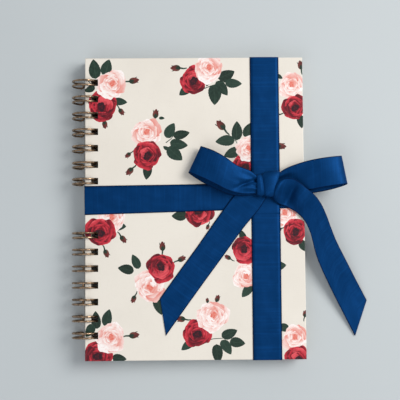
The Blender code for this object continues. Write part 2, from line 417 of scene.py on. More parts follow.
def make_petal_group(name):
    """A painted petal: deep at its base, a light rim, streaks along it, and a dark heart."""
    group, given, made = new_group(
        name,
        {
            "Drawing": ("NodeSocketVector", None),
            "Vector": ("NodeSocketVector", None),
            "Deep": ("NodeSocketColor", (0.2, 0.0, 0.0, 1)),
            "Body": ("NodeSocketColor", (0.5, 0.0, 0.0, 1)),
            "Rim": ("NodeSocketColor", (0.8, 0.1, 0.1, 1)),
            "Heart": ("NodeSocketColor", (0.05, 0.0, 0.0, 1)),
            "Lift": ("NodeSocketFloat", 0.0),
        },
        {"Colour": "NodeSocketColor"},
    )
    parts = add_node(group, "ShaderNodeSeparateXYZ")
    feed(group, parts.inputs[0], given.outputs["Drawing"])
    along, aside, tone = parts.outputs
    streaked = noise(group, stretched(group, given.outputs["Drawing"], (1.3, 5.0, 9.0)), 1.4)
    reach = maths(group, "ADD", along, maths(group, "MULTIPLY", streaked, 0.22))
    reach = maths(group, "ADD", reach, maths(group, "MULTIPLY", tone, 0.22))
    reach = maths(group, "ADD", reach, given.outputs["Lift"])
    lit = blend_colour(
        group, ramp(group, reach, 0.74, 1.02), given.outputs["Deep"], given.outputs["Body"]
    )
    rim = ramp(group, reach, 1.0, 1.22)
    shown = blend_colour(group, rim, lit, given.outputs["Rim"])
    folded = ramp(group, tone, 0.25, 0.75, 0.0, 0.85)
    shown = blend_colour(group, folded, shown, given.outputs["Rim"])
    edge = ramp(group, maths(group, "ABSOLUTE", aside), 0.82, 1.02, 0.0, 0.45)
    shown = blend_colour(group, edge, shown, given.outputs["Deep"])
    brush = noise(group, given.outputs["Vector"], 620.0, 4.0, 0.65)
    dark_marks = ramp(group, brush, 0.50, 0.30, 0.0, 0.42)
    shown = blend_colour(group, dark_marks, shown, given.outputs["Deep"])
    light_marks = ramp(group, brush, 0.54, 0.72, 0.0, 0.55)
    shown = blend_colour(group, light_marks, shown, given.outputs["Rim"])
    depth = maths(group, "SUBTRACT", tone, maths(group, "MULTIPLY", brush, 0.3))
    heart = ramp(group, depth, -0.5, -1.0)
    shown = blend_colour(group, heart, shown, given.outputs["Heart"])
    feed(group, made.inputs["Colour"], shown)
    return group


# Printed paper materials


def own_places(tree):
    """Object coordinates: metres on the piece itself, whatever its pose."""
    return add_node(tree, "ShaderNodeTexCoord").outputs["Object"]


def drawing(tree):
    """Where a point lies in its printed patch: along it, across it, and the patch's tone."""
    return add_node(tree, "ShaderNodeAttribute", attribute_name="drawing").outputs["Vector"]


def coat_print(tree, shader, colour):
    """The satin of printed cover paper, over any ink."""
    satin = place_group(tree, "satin tooth", make_tooth_group, Vector=own_places(tree))
    feed(tree, shader.inputs["Base Color"], colour)
    feed(tree, shader.inputs["Roughness"], satin.outputs["Roughness"])
    feed(tree, shader.inputs["Normal"], bump(tree, satin.outputs["Height"], 0.12, 0.03 * MM))
    shader.inputs["Specular IOR Level"].default_value = 0.25


def ground_material(settings):
    material, tree, shader = new_material("printed_ground")
    fibre = place_group(
        tree, "paper fibre", make_fibre_group, Vector=own_places(tree), Colour=settings.ground,
        Fibre_Colour=(0.66, 0.60, 0.52), Fibre=0.12, Mottle=0.32,
    )
    coat_print(tree, shader, fibre.outputs["Colour"])
    return material


def petal_material(name, body, deep, rim, heart, lift):
    material, tree, shader = new_material(name)
    painted = place_group(
        tree, "painted petal", make_petal_group, Drawing=drawing(tree), Vector=own_places(tree),
        Deep=deep, Body=body, Rim=rim, Heart=heart, Lift=lift,
    )
    coat_print(tree, shader, painted.outputs["Colour"])
    return material


def leaf_material(settings):
    """Dark green with a pale midrib and side veins that lean towards the tip."""
    material, tree, shader = new_material("printed_leaf")
    parts = add_node(tree, "ShaderNodeSeparateXYZ")
    feed(tree, parts.inputs[0], drawing(tree))
    along, aside, tone = parts.outputs
    off_middle = maths(tree, "ABSOLUTE", aside)
    midrib = ramp(tree, off_middle, 0.02, 0.08, 0.22, 0.0)
    lean = maths(tree, "SUBTRACT", along, maths(tree, "MULTIPLY", off_middle, 0.22))
    wave = maths(tree, "SINE", maths(tree, "MULTIPLY", lean, 34.0))
    veins = ramp(tree, wave, 0.78, 1.0, 0.0, 0.10)
    green = settings.green
    lighter = tuple(min(1.0, 1.8 * value + 0.005) for value in green)
    cloud = noise(tree, stretched(tree, drawing(tree), (2.0, 1.2, 3.0)), 2.2)
    body = blend_colour(tree, ramp(tree, cloud, 0.35, 0.75, 0.0, 0.7), green, lighter)
    body = blend_colour(tree, ramp(tree, tone, 0.0, 1.0, 0.0, 0.8), body, lighter)
    body = blend_colour(tree, ramp(tree, tone, 0.0, -1.0, 0.0, 0.8), body, (0.008, 0.012, 0.009))
    pale = (0.08, 0.14, 0.09)
    shown = blend_colour(tree, maths(tree, "MAXIMUM", midrib, veins), body, pale)
    coat_print(tree, shader, shown)
    return material


def bud_material():
    """A closed bud: green where the sepals hold it, dark red at the tip."""
    material, tree, shader = new_material("printed_bud")
    parts = add_node(tree, "ShaderNodeSeparateXYZ")
    feed(tree, parts.inputs[0], drawing(tree))
    along, aside, _ = parts.outputs
    streak = noise(tree, stretched(tree, drawing(tree), (1.0, 5.0, 4.0)), 2.5)
    reach = maths(tree, "ADD", along, maths(tree, "MULTIPLY", streak, 0.3))
    held = ramp(tree, reach, 0.35, 0.75)
    shown = blend_colour(tree, held, (0.025, 0.045, 0.022), (0.115, 0.022, 0.02))
    light = ramp(tree, maths(tree, "ADD", aside, streak), 0.3, 1.0, 0.0, 0.5)
    shown = blend_colour(tree, light, shown, (0.24, 0.06, 0.05))
    coat_print(tree, shader, shown)
    return material


def print_materials(settings):
    """The inks in slot order: ground, red, pink, leaf and bud."""
    return [
        ground_material(settings),
        petal_material(
            "printed_red_rose", settings.red, (0.15, 0.006, 0.014), (0.80, 0.10, 0.12),
            (0.030, 0.008, 0.014), 0.0,
        ),
        petal_material(
            "printed_pink_rose", settings.pink, (0.84, 0.36, 0.31), (1.0, 0.94, 0.91),
            (0.78, 0.17, 0.12), 0.10,
        ),
        leaf_material(settings),
        bud_material(),
    ]


# The painted pattern


class Patch(NamedTuple):
    """One painted shape: its outline, its ink, and the directions its shading runs along."""

    outline: list
    ink: int
    base: Vector
    along: Vector
    across: Vector
    tone: float


def petal(base, turn, reach, half_width, ink, tone, wave=0.0):
    """A round petal from its base, widest near its rim, whose outline waves a little."""
    along = heading(turn) * reach
    across = heading(turn + 90) * half_width
    outline = []
    for i in range(PETAL_STEPS):
        angle = math.tau * i / PETAL_STEPS
        ruffle = wave * (math.cos(3 * angle + turn) + 0.6 * math.cos(7 * angle + 2 * turn))
        far = 0.5 + 0.5 * math.cos(angle) + ruffle * (0.6 + 0.4 * math.cos(angle))
        side = math.sin(angle) * (0.75 + 0.25 * math.cos(angle))
        outline.append(base + along * far + across * side)
    return Patch(outline, ink, base, along, across, tone)


# By ink: rings of petals as (count, share of the radius), how ruffled they are, and the heart's share
ROSE_FORMS = {
    RED: (((5, 1.0), (5, 0.80), (5, 0.61), (4, 0.44)), 0.035, 0.33),
    PINK: (((6, 1.0), (6, 0.83), (5, 0.66), (5, 0.49), (4, 0.33)), 0.06, 0.21),
}


def rose(x, y, turn, ink, radius):
    """Rings of petals round a heart, the ones towards turn catching the light."""
    centre = Vector((x, y))
    heart = centre - heading(turn) * 0.10 * radius
    rings, ruffle, depth = ROSE_FORMS[ink]
    patches = []
    for ring, (count, share) in enumerate(rings):
        base = centre.lerp(heart, ring / len(rings))
        for i in range(count):
            spread = 360 * i / count + 41 * ring
            lit = max(0.0, math.cos(math.radians(spread))) ** 2
            reach = radius * share * (1 + 0.10 * math.sin(2.3 * i + 1.9 * ring + x))
            half_width = reach * math.sin(math.pi / count) * 1.4
            tone = 0.8 * lit * (1.1 - share * 0.3) - 0.3 + 0.32 * math.sin(2.1 * i + 1.3 * ring + y)
            patches.append(petal(base, turn + spread, reach, half_width, ink, tone, ruffle))
    for i in range(7):
        reach = radius * depth * (0.88 + 0.2 * math.sin(1.9 * i + x))
        tone = -0.95 + 0.2 * math.sin(2.6 * i)
        patches.append(petal(heart, turn + 51 * i + 20, reach, reach * 0.5, ink, tone))
    for i in range(3):
        patches.append(petal(heart, turn + 120 * i, radius * 0.15, radius * 0.08, ink, -0.66))
    return patches


def leaf(x, y, turn, length, share=0.29, tone=0.0, bow=0.0):
    """A pointed oval whose base is round, bowed sideways if asked."""
    along = heading(turn) * length
    across = heading(turn + 90) * length * share
    base = Vector((x, y)) - along / 2
    outline = []
    for side in (1, -1):
        for i in range(LEAF_STEPS):
            far = i / LEAF_STEPS if side == 1 else 1 - i / LEAF_STEPS
            notch = 1 + 0.04 * (i % 2)
            half = 2.56 * far**0.55 * (1 - far) ** 0.85 * notch
            outline.append(base + along * far + across * (side * half + bow * math.sin(math.pi * far)))
    return Patch(outline, LEAF, base, along, across, tone)


def strip(points, half_width, tone=0.6):
    """A stem painted along a few points, tapering to its far end."""
    count = len(points)
    sides = []
    for i, point in enumerate(points):
        run = points[min(i + 1, count - 1)] - points[max(i - 1, 0)]
        aside = Vector((-run.y, run.x)).normalized() * half_width * (1 - 0.6 * i / count)
        sides.append((point + aside, point - aside))
    outline = [left for left, _ in sides] + [right for _, right in reversed(sides)]
    return Patch(outline, LEAF, points[0], points[-1] - points[0], Vector((0, 9)), tone)


def bud(x, y, turn, length):
    """A closed bud on a short stem, with two sepals that curl away from it."""
    tip_way = heading(turn)
    aside = heading(turn + 90)
    middle = Vector((x, y))
    neck = middle - tip_way * 0.12 * length
    bend = middle - tip_way * 0.32 * length + aside * 0.03 * length
    patches = [strip([neck, bend, middle - tip_way * 0.5 * length], 0.055 * length)]
    for side, open_turn in ((1, 30), (-1, 24)):
        out = heading(turn + side * open_turn)
        sepal = [neck, neck + out * 0.26 * length, neck + out * 0.36 * length + tip_way * 0.2 * length]
        patches.append(strip(sepal, 0.032 * length, tone=-0.3))
    body = middle + tip_way * 0.18 * length
    closed = leaf(body.x, body.y, turn, 0.62 * length, 0.30)
    patches.append(closed._replace(ink=BUD))
    held = middle + tip_way * 0.02 * length
    patches.append(leaf(held.x, held.y, turn + 8, 0.34 * length, 0.26, -0.3))
    return patches


# Painted leaves and buds as (across, up, direction in degrees, length), in painting order
PAINTED_LEAVES = (
    (7.3, 107.5, 97, 15.5), (17, 108.5, 76, 13.5), (3.5, 92, 205, 9), (27, 82, -6, 11),
    (77, 90, 215, 11), (109, 102.5, 24, 14), (114.5, 96, -4, 13), (105.5, 92, -52, 14), (99.5, 87, -88, 16),
    (65.5, 59.5, 62, 13), (74, 56.5, 12, 13), (72, 49, -10, 14), (69, 41.5, -42, 15), (47.5, 27.5, -96, 12),
    (59, 69, 0, 4.5), (62, 46, 150, 5), (94.5, 96, -110, 5),
    (107.5, 51, 184, 15), (116.5, 59, 88, 15), (126, 59.5, 66, 13), (112.5, 42, 204, 13),
    (166, 66, -80, 11), (150, 101, -30, 6), (26, -13.5, -8, 11), (31, -47, 168, 12.5),
    (38.5, -41, 115, 12), (56, -75, -72, 14), (72, -6, 185, 12), (123, -64, 232, 12),
    (120, -22, 108, 10), (167, -30, -62, 10), (147, -45, 4, 13), (8.5, -85, 95, 13.5),
    (17.2, -83.5, 78, 13.5), (3.5, -93, 240, 11), (26, -114, -8, 11), (77.6, -105, 215, 11.5),
    (109.5, -96, 22, 13), (115.5, -103, -8, 12), (107, -106.5, -56, 13), (100, -111.5, -86, 15),
    (93.5, -95, -48, 5), (150, -92, 170, 10),
)
PAINTED_BUDS = (
    (35.5, 98, 10, 13), (27, 75.5, -55, 10), (15, 66, -84, 10.5), (72, 108, 180, 13), (54, 70.5, 82, 12),
    (34, 41.5, 220, 9), (35.5, 29.5, 226, 12), (106, 61.5, 132, 15), (167, 108, 100, 12), (148.5, 47, -4, 13),
    (147, 71, 195, 12), (28, -22.5, -52, 11), (15.5, -33, -66, 11), (59, -31.5, 92, 12), (72, -40, 25, 11),
    (37.5, -68, 246, 10), (94, -14, 250, 7), (110, -39, 150, 9), (149, -17, 205, 9), (35, -97, 8, 13),
    (74.5, -85, 176, 12), (93, -72, 95, 6.5), (100, -71, 68, 9.5), (167, -83, 80, 9),
)
# Roses as (ink, across, up, direction of their lit petals, radius)
PAINTED_ROSES = (
    (RED, 13.2, 79, 55, 11.3), (PINK, 20.5, 95.5, 235, 11.3), (RED, 84, 98.8, 68, 10.6),
    (PINK, 95.3, 107.5, 250, 11), (PINK, 47.5, 57.5, 280, 11.3), (RED, 47.5, 41, 105, 10.8),
    (RED, 123, 31.5, 70, 10.5), (PINK, 125.5, 44.5, 260, 10), (PINK, 159.5, 94, 285, 10),
    (RED, 161.5, 77.5, 110, 9.6), (PINK, 20, -8, 250, 11), (RED, 11.5, -18, 85, 11),
    (PINK, 49.5, -59.5, 70, 11.8), (RED, 58, -46, 285, 10.6), (RED, 87.3, -4, 300, 10.3),
    (PINK, 122.5, -52, 100, 10), (RED, 121.5, -33, 275, 9.8), (PINK, 153, -5, 280, 10.3),
    (RED, 160.5, -18.5, 120, 9.5), (RED, 10, -111.5, 60, 11), (PINK, 19.3, -99, 240, 11.3),
    (RED, 85.5, -95.3, 68, 10.8), (PINK, 97, -83, 250, 11.8), (PINK, 159.5, -100, 285, 10),
    (RED, 161, -115.5, 105, 10),
)
PAINTED_STEMS = (
    ((92, 92), (97, 94), (105, 96.5), (109, 97)), ((62, 50), (66, 53), (69, 57)),
    ((93, -101), (97, -100), (105, -99.5), (110, -100)), ((119, 41), (117.5, 48), (113, 56)),
    ((2, 99), (5, 95), (6.5, 91)), ((2, -91), (5, -95), (6.5, -99)), ((94, 108), (96, 104), (98.5, 101)),
)


def painted_patches():
    """Every patch of the print, the later ones over the earlier."""
    patches = []
    for number, (x, y, turn, length) in enumerate(PAINTED_LEAVES):
        share = 0.29 + 0.025 * math.sin(1.7 * number)
        tone = 0.5 * math.sin(2.3 * number)
        patches.append(leaf(x, y, turn, length, share, tone, 0.12 * math.sin(number)))
    for points in PAINTED_STEMS:
        patches.append(strip([Vector(point) for point in points], 0.35))
    for x, y, turn, length in PAINTED_BUDS:
        patches += bud(x, y, turn, length)
    for ink, x, y, turn, radius in PAINTED_ROSES:
        patches += rose(x, y, turn, ink, radius)
    return patches


# The cover wraps


class FoldedEdge:
    """How the paper runs over the board's edge: (travel, out, down) from the flat face."""

    def __init__(self, radius):
        self.radius = radius
        self.left = radius
        self.right = COVER_WIDTH - radius
        self.half = COVER_HEIGHT / 2 - radius
        quarter = radius * math.pi / 2
        steps = [i / FOLD_STEPS for i in range(FOLD_STEPS + 1)]
        self.stops = []
        for step in steps:
            angle = step * math.pi / 2
            self.stops.append((quarter * step, radius * math.sin(angle), radius * (1 - math.cos(angle))))
        wall = COVER_THICKNESS - 2 * radius
        for step in steps:
            angle = step * math.pi / 2
            down = COVER_THICKNESS - radius + radius * math.sin(angle)
            self.stops.append((quarter * (1 + step) + wall, radius * math.cos(angle), down))
        self.reach = self.stops[-1][0] + TURN_IN - radius
        self.stops.append((self.reach, radius - TURN_IN, COVER_THICKNESS))

    def run(self, travel):
        """(out, down) after the paper has gone travel past the flat face."""
        for (start, out, down), (end, next_out, next_down) in zip(self.stops, self.stops[1:]):
            if travel <= end:
                share = max(travel - start, 0) / max(end - start, 1e-9)
                return out + (next_out - out) * share, down + (next_down - down) * share
        return self.stops[-1][1:]

    def folded(self, u, v):
        """(across, up, depth) on the cover of a place on the unfolded sheet."""
        past_side = max(self.left - u, u - self.right, 0)
        past_end = max(abs(v) - self.half, 0)
        out, down = self.run(max(past_side, past_end))
        middle = COVER_WIDTH / 2
        if past_side >= past_end:
            edge = self.left - out if u < middle else self.right + out
            across = edge if past_side > 0 else u
            return across, v * (self.half + out) / self.half if past_side > 0 else v, down
        width = self.right - middle
        return middle + (u - middle) * (width + out) / width, math.copysign(self.half + out, v), down

    def outline(self):
        """The sheet's cross shape, as corners in order."""
        far_left, far_right = self.left - self.reach, self.right + self.reach
        far_half = self.half + self.reach
        return [
            (self.left, -far_half), (self.right, -far_half), (self.right, -self.half),
            (far_right, -self.half), (far_right, self.half), (self.right, self.half),
            (self.right, far_half), (self.left, far_half), (self.left, self.half),
            (far_left, self.half), (far_left, -self.half), (self.left, -self.half),
        ]

    def creases(self):
        """The lines where the sheet bends, as pairs of ends."""
        lines = []
        for travel, _, _ in self.stops[:-1]:
            for u in (self.left - travel, self.right + travel):
                lines.append(((u, -self.half), (u, self.half)))
            for v in (-self.half - travel, self.half + travel):
                lines.append(((self.left, v), (self.right, v)))
        return lines

    def holes(self):
        """The punched squares, once on the face and once on the turn-in behind it."""
        squares = []
        for y in LOOP_PLACES + [-y for y in LOOP_PLACES]:
            corners = [(HOLE_START, -1), (HOLE_END, -1), (HOLE_END, 1), (HOLE_START, 1)]
            squares.append([(x, y + side * HOLE_HALF) for x, side in corners])
            behind = []
            for x, side in corners:
                stretch = self.half / (self.half + self.radius - x)
                u = self.left - (self.reach - TURN_IN + x)
                behind.append((u, (y + side * HOLE_HALF) * stretch))
            squares.append(behind)
        return squares


def mirrored(patch):
    """The patch as a cover seen from its other side needs it."""

    def flip(point):
        return Vector((COVER_WIDTH - point.x, point.y))

    def flip_way(way):
        return Vector((-way.x, way.y))

    outline = [flip(point) for point in patch.outline]
    return patch._replace(
        outline=outline, base=flip(patch.base), along=flip_way(patch.along), across=flip_way(patch.across)
    )


def cut_sheet(edge, patches):
    """Cuts the unfolded sheet along every outline. Gives its points, its triangles and, for each
    triangle, the number of the patch on top of it, or None."""
    points = []

    def add_points(places):
        start = len(points)
        points.extend(Vector(place) for place in places)
        return list(range(start, len(points)))

    def add_ring(ring):
        swept = sum(a[0] * b[1] - b[0] * a[1] for a, b in zip(ring, [*ring[1:], ring[0]]))
        return add_points(ring if swept > 0 else ring[::-1])

    faces = [add_ring(edge.outline())]
    faces += [add_ring(hole) for hole in edge.holes()]
    first_patch = len(faces)
    faces += [add_ring(patch.outline) for patch in patches]
    lines = [add_points(ends) for ends in edge.creases()]
    cut_points, _, triangles, _, _, owners = delaunay_2d_cdt(points, lines, faces, 0, 1e-4, True)
    kept = []
    tops = []
    for corners, sources in zip(triangles, owners):
        if 0 not in sources or any(0 < source < first_patch for source in sources):
            continue
        kept.append(corners)
        top = max(sources)
        tops.append(top - first_patch if top >= first_patch else None)
    if not kept:
        raise RuntimeError("the cover paper could not be cut")
    return cut_points, kept, tops


def close_corners(bm):
    """Joins the paper where two flaps meet at a corner, and turns all its faces outwards."""
    rim = [line for line in bm.edges if line.is_boundary]
    for vertex in dict.fromkeys(vertex for line in rim for vertex in line.verts):
        for line in rim:
            if vertex in line.verts:
                continue
            start, end = line.verts
            nearest, share = intersect_point_line(vertex.co, start.co, end.co)
            if 0 < share < 1 and (nearest - vertex.co).length < WELD:
                split_off, _ = bmesh.utils.edge_split(line, start, share)
                rim.append(split_off)
                break
    bmesh.ops.remove_doubles(bm, verts=bm.verts, dist=WELD)
    bmesh.ops.recalc_face_normals(bm, faces=bm.faces)


def make_wrap(side, settings, inks):
    """Printed paper folded round one cover's board. The back's print is the front's, mirrored."""
    edge = FoldedEdge(settings.fold_radius / MM)
    patches = painted_patches()
    outer, inward = FRONT_HIGH.z, -1
    if side == "back":
        patches = [mirrored(patch) for patch in patches]
        outer, inward = BACK_LOW.z, 1
    points, triangles, tops = cut_sheet(edge, patches)
    bm = bmesh.new()
    drawn = bm.loops.layers.float_vector.new("drawing")
    placed = []
    for point in points:
        x, y, depth = edge.folded(point.x, point.y)
        spot = Vector((FRONT_LOW.x + x * MM, y * MM, outer + inward * depth * MM))
        placed.append(bm.verts.new(BOOK @ spot))
    for corners, top in zip(triangles, tops):
        face = bm.faces.new([placed[corner] for corner in corners])
        depths = [edge.folded(*points[corner])[2] for corner in corners]
        face.smooth = max(depths) - min(depths) > 1e-4 and max(depths) != COVER_THICKNESS
        if top is None:
            continue
        patch = patches[top]
        face.material_index = patch.ink
        for loop, corner in zip(face.loops, corners):
            way = points[corner] - patch.base
            along = way.dot(patch.along) / patch.along.length_squared
            aside = way.dot(patch.across) / patch.across.length_squared
            loop[drawn] = Vector((along, aside, patch.tone))
    bmesh.ops.delete(bm, geom=[vert for vert in bm.verts if not vert.link_faces], context="VERTS")
    close_corners(bm)
    made = finish_piece(f"{side}_cover_printed_wrap", bm, inks)
    solid = made.modifiers.new("paper", "SOLIDIFY")
    solid.thickness = settings.thickness
    solid.offset = -1
    return made


def finish_piece(name, bm, materials):
    """Turns a bmesh into a linked object at the origin."""
    mesh = bpy.data.meshes.new(name)
    bm.to_mesh(mesh)
    bm.free()
    for material in materials:
        mesh.materials.append(material)
    made = bpy.data.objects.new(name, mesh)
    bpy.context.scene.collection.objects.link(made)
    return made


class ALBUM_OT_cover_wraps(bpy.types.Operator):
    """Wraps both covers in rose-printed paper, folded over the boards and punched for the wire"""

    bl_idname = "album.cover_wraps"
    bl_label = "Cover Wraps"

    def execute(self, context):
        settings = context.scene.album_paper
        inks = print_materials(settings)
        for side in ("front", "back"):
            wrap = make_wrap(side, settings, inks)
            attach(wrap, f"{side}_cover")
            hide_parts(f"{side}_cover_wrap")
        return {"FINISHED"}


# Boards, endpapers and leaves


def card_material(name, colour, fibre_colour, fibre, mottle, roughness, relief):
    """Uncoated card or board, whose cut edges show the same fibres."""
    material, tree, shader = new_material(name)
    made = place_group(
        tree, "paper fibre", make_fibre_group, Vector=own_places(tree), Colour=colour,
        Fibre_Colour=fibre_colour, Fibre=fibre, Mottle=mottle,
    )
    feed(tree, shader.inputs["Base Color"], made.outputs["Colour"])
    feed(tree, shader.inputs["Normal"], bump(tree, made.outputs["Height"], 0.35, relief))
    shader.inputs["Roughness"].default_value = roughness
    return material


def dress(node, material):
    """Gives a CAD node a finish without touching its shape."""
    held = frame["nodes"][node]
    if not held.material_slots:
        held.data.materials.append(None)
    for slot in held.material_slots:
        slot.link = "OBJECT"
        slot.material = material


class ALBUM_OT_boards_and_leaves(bpy.types.Operator):
    """Finishes the greyboards, the endpapers and the card leaves"""

    bl_idname = "album.boards_and_leaves"
    bl_label = "Boards and Leaves"

    def execute(self, context):
        grey = card_material(
            "greyboard", (0.33, 0.31, 0.285), (0.13, 0.12, 0.11), 0.6, 0.5, 0.9, 0.05 * MM
        )
        ivory = card_material(
            "endpaper", (0.78, 0.73, 0.64), (0.62, 0.55, 0.45), 0.35, 0.4, 0.65, 0.03 * MM
        )
        for side in ("front", "back"):
            dress(f"{side}_cover_board", grey)
            dress(f"{side}_endpaper", ivory)
        leaves = sorted(name for name in frame["nodes"] if name.startswith("leaf_"))
        shades = (
            card_material(
                "leaf_card_warm", (0.76, 0.70, 0.60), (0.50, 0.41, 0.30), 0.45, 0.35, 0.8, 0.04 * MM
            ),
            card_material(
                "leaf_card_light", (0.80, 0.75, 0.66), (0.56, 0.47, 0.36), 0.40, 0.30, 0.8, 0.04 * MM
            ),
        )
        for number, node in enumerate(leaves):
            dress(node, shades[number % len(shades)])
        return {"FINISHED"}


# Wire combs


def on_ring(along, y):
    """A place on the wire's centreline, a given length round the loop from the seam."""
    angle = SEAM_ANGLE + along / RING_RADIUS
    return Vector((RING_RADIUS * math.cos(angle), y, RING_RADIUS * math.sin(angle)))


def quarter_link(y, side):
    """The bend from a straight link at the seam into a loop's wire, on either side of it."""
    places = []
    for i in range(LINK_STEPS):
        angle = math.pi / 2 * i / LINK_STEPS
        along = LINK_FILLET * (1 - math.cos(angle))
        aside = LINK_FILLET * (1 - math.sin(angle))
        places.append(on_ring(along, y + side * (WIRE_SPREAD + aside)))
    return places


def loop_path(y):
    """One double loop: out of the seam, round to the tip, and back beside itself."""
    tip = math.tau * RING_RADIUS - SEAM_GAP - WIRE_SPREAD
    runs = [LINK_FILLET + (tip - LINK_FILLET) * i / ARC_STEPS for i in range(ARC_STEPS + 1)]
    places = quarter_link(y, -1)
    places += [on_ring(along, y - WIRE_SPREAD) for along in runs]
    for i in range(1, TIP_STEPS):
        turn = math.pi * i / TIP_STEPS
        along = tip + WIRE_SPREAD * math.sin(turn)
        places.append(on_ring(along, y - WIRE_SPREAD * math.cos(turn)))
    places += [on_ring(along, y + WIRE_SPREAD) for along in reversed(runs)]
    return places + quarter_link(y, 1)[::-1]


def make_comb(name, loops, settings, material):
    """One bent wire with capped ends, as a welded mesh."""
    curve = bpy.data.curves.new(name, "CURVE")
    curve.dimensions = "3D"
    curve.bevel_depth = settings.radius
    curve.bevel_resolution = settings.roundness
    curve.use_fill_caps = True
    places = [place for y in sorted(loops) for place in loop_path(y * MM)]
    spline = curve.splines.new("POLY")
    spline.points.add(len(places) - 1)
    for point, place in zip(spline.points, places):
        point.co = (*(BOOK @ place), 1)
    wire = bpy.data.objects.new(name, curve)
    bpy.context.scene.collection.objects.link(wire)
    bpy.context.view_layer.update()
    mesh = bpy.data.meshes.new_from_object(wire.evaluated_get(bpy.context.evaluated_depsgraph_get()))
    bpy.data.objects.remove(wire)
    bm = bmesh.new()
    bm.from_mesh(mesh)
    bmesh.ops.remove_doubles(bm, verts=bm.verts, dist=settings.radius / 20)
    bmesh.ops.recalc_face_normals(bm, faces=bm.faces)
    for face in bm.faces:
        face.smooth = len(face.verts) == 4
    bpy.data.meshes.remove(mesh)
    return finish_piece(name, bm, [material])


def bronze_material(settings):
    """Antique bronze plating: dark in its drawn lines, tan where it is rubbed."""
    material, tree, shader = new_material("antique_bronze_wire")
    places = own_places(tree)
    patches = ramp(tree, noise(tree, places, 420.0, 4.0, 0.6), 0.38, 0.66)
    fine = ramp(tree, noise(tree, places, 2600.0, 3.0, 0.6), 0.4, 0.7)
    dark = tuple(value * 0.20 for value in settings.bronze)
    worn = maths(tree, "ADD", maths(tree, "MULTIPLY", patches, 0.65), maths(tree, "MULTIPLY", fine, 0.3))
    colour = blend_colour(tree, worn, dark, settings.bronze)
    feed(tree, shader.inputs["Base Color"], colour)
    feed(tree, shader.inputs["Roughness"], ramp(tree, patches, 0.0, 1.0, 0.38, 0.24))
    feed(tree, shader.inputs["Normal"], bump(tree, fine, 0.15, 0.02 * MM))
    shader.inputs["Metallic"].default_value = 1.0
    return material


class ALBUM_OT_wire_combs(bpy.types.Operator):
    """Bends the two bronze wire combs of seven double loops"""

    bl_idname = "album.wire_combs"
    bl_label = "Wire Combs"

    def execute(self, context):
        settings = context.scene.album_wire
        bronze = bronze_material(settings)
        for half, side in (("upper", 1), ("lower", -1)):
            loops = [side * y for y in LOOP_PLACES]
            comb = make_comb(f"bronze_comb_{half}", loops, settings, bronze)
            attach(comb, f"wire_comb_{half}")
            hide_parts(f"wire_comb_{half}")
        return {"FINISHED"}


# Ribbon


def grosgrain_material(settings):
    """Navy grosgrain: ribs across its width with painted shade in their grooves, a plain woven edge on both sides
    with painted shade along it, painted sheen in broad lighter patches and in light and dark streaks across the
    ribs, and a soft sheen.
    """
    material, tree, shader = new_material(RIBBON_CLOTH)
    laid = add_node(tree, "ShaderNodeUVMap", uv_map="laid_flat")
    parts = add_node(tree, "ShaderNodeSeparateXYZ")
    feed(tree, parts.inputs[0], laid.outputs["UV"])
    length, across, _ = parts.outputs
    wobble = noise(tree, stretched(tree, laid.outputs["UV"], (900, 60, 1)), 1.0, 2.0)
    counted = maths(tree, "MULTIPLY", length, math.tau / settings.rib_pitch)
    phase = maths(tree, "ADD", counted, maths(tree, "MULTIPLY", wobble, 1.1))
    rib = ramp(tree, maths(tree, "SINE", phase), -0.9, 0.7)
    yarn = maths(tree, "SINE", maths(tree, "MULTIPLY", across, math.tau / (YARN_PITCH * MM)))
    off_middle = maths(tree, "ABSOLUTE", maths(tree, "SUBTRACT", across, 0.5 * RIBBON_WIDTH * MM))
    # Both edges of the ribbon: the plain woven edge without ribs, which also carries painted shade
    selvedge_and_edge_shade = ramp(tree, off_middle, SELVEDGE_START * MM, SELVEDGE_END * MM)
    # Painted sheen: broad lighter patches along the cloth
    sheen_patches = noise(tree, stretched(tree, laid.outputs["UV"], (70, 120, 1)), 1.0, 4.0)
    # Painted sheen across the ribs: streaks darkened with the painted groove shade and lightened with a painted
    # highlight
    sheen_streaks = noise(tree, stretched(tree, laid.outputs["UV"], (620, 22, 1)), 1.0, 2.0)
    # A darker navy: painted shade in the grooves between the ribs, also used for the darker streaks
    groove_shade = tuple(value * 0.60 for value in settings.navy)
    # A lighter navy for the painted sheen patches
    light = tuple(min(1.0, value * 1.25 + 0.002) for value in settings.navy)
    # A painted highlight for the lighter streaks
    glint = tuple(min(1.0, value * 1.6 + 0.002) for value in settings.navy)
    # Ribs: the navy, with painted shade in each groove
    shown = blend_colour(tree, rib, groove_shade, settings.navy)
    # Lays the painted sheen patches over the ribs
    shown = blend_colour(tree, ramp(tree, sheen_patches, 0.35, 0.75, 0.0, 0.5), shown, light)
    shown = blend_colour(tree, ramp(tree, sheen_streaks, 0.52, 0.34, 0.0, 0.27), shown, groove_shade)
    shown = blend_colour(tree, ramp(tree, sheen_streaks, 0.54, 0.70, 0.0, 0.22), shown, glint)
    # Painted shade along both edges, over the darker plain woven edge
    shown = blend_colour(tree, maths(tree, "MULTIPLY", selvedge_and_edge_shade, 0.8), shown, (0.0012, 0.008, 0.040))
    feed(tree, shader.inputs["Base Color"], shown)
    feed(tree, shader.inputs["Roughness"], ramp(tree, rib, 0.0, 1.0, 0.58, 0.46))
    height = maths(tree, "ADD", rib, maths(tree, "MULTIPLY", yarn, 0.12))
    height = maths(tree, "SUBTRACT", height, maths(tree, "MULTIPLY", selvedge_and_edge_shade, rib))
    feed(tree, shader.inputs["Normal"], bump(tree, height, 0.25, 0.10 * MM))
    shader.inputs["Specular IOR Level"].default_value = 0.05
    shader.inputs["Metallic"].default_value = 0.5
    shader.inputs["Sheen Weight"].default_value = 0.10
    shader.inputs["Sheen Roughness"].default_value = 0.4
    shader.inputs["Sheen Tint"].default_value = (0.03, 0.25, 0.60, 1)
    return material


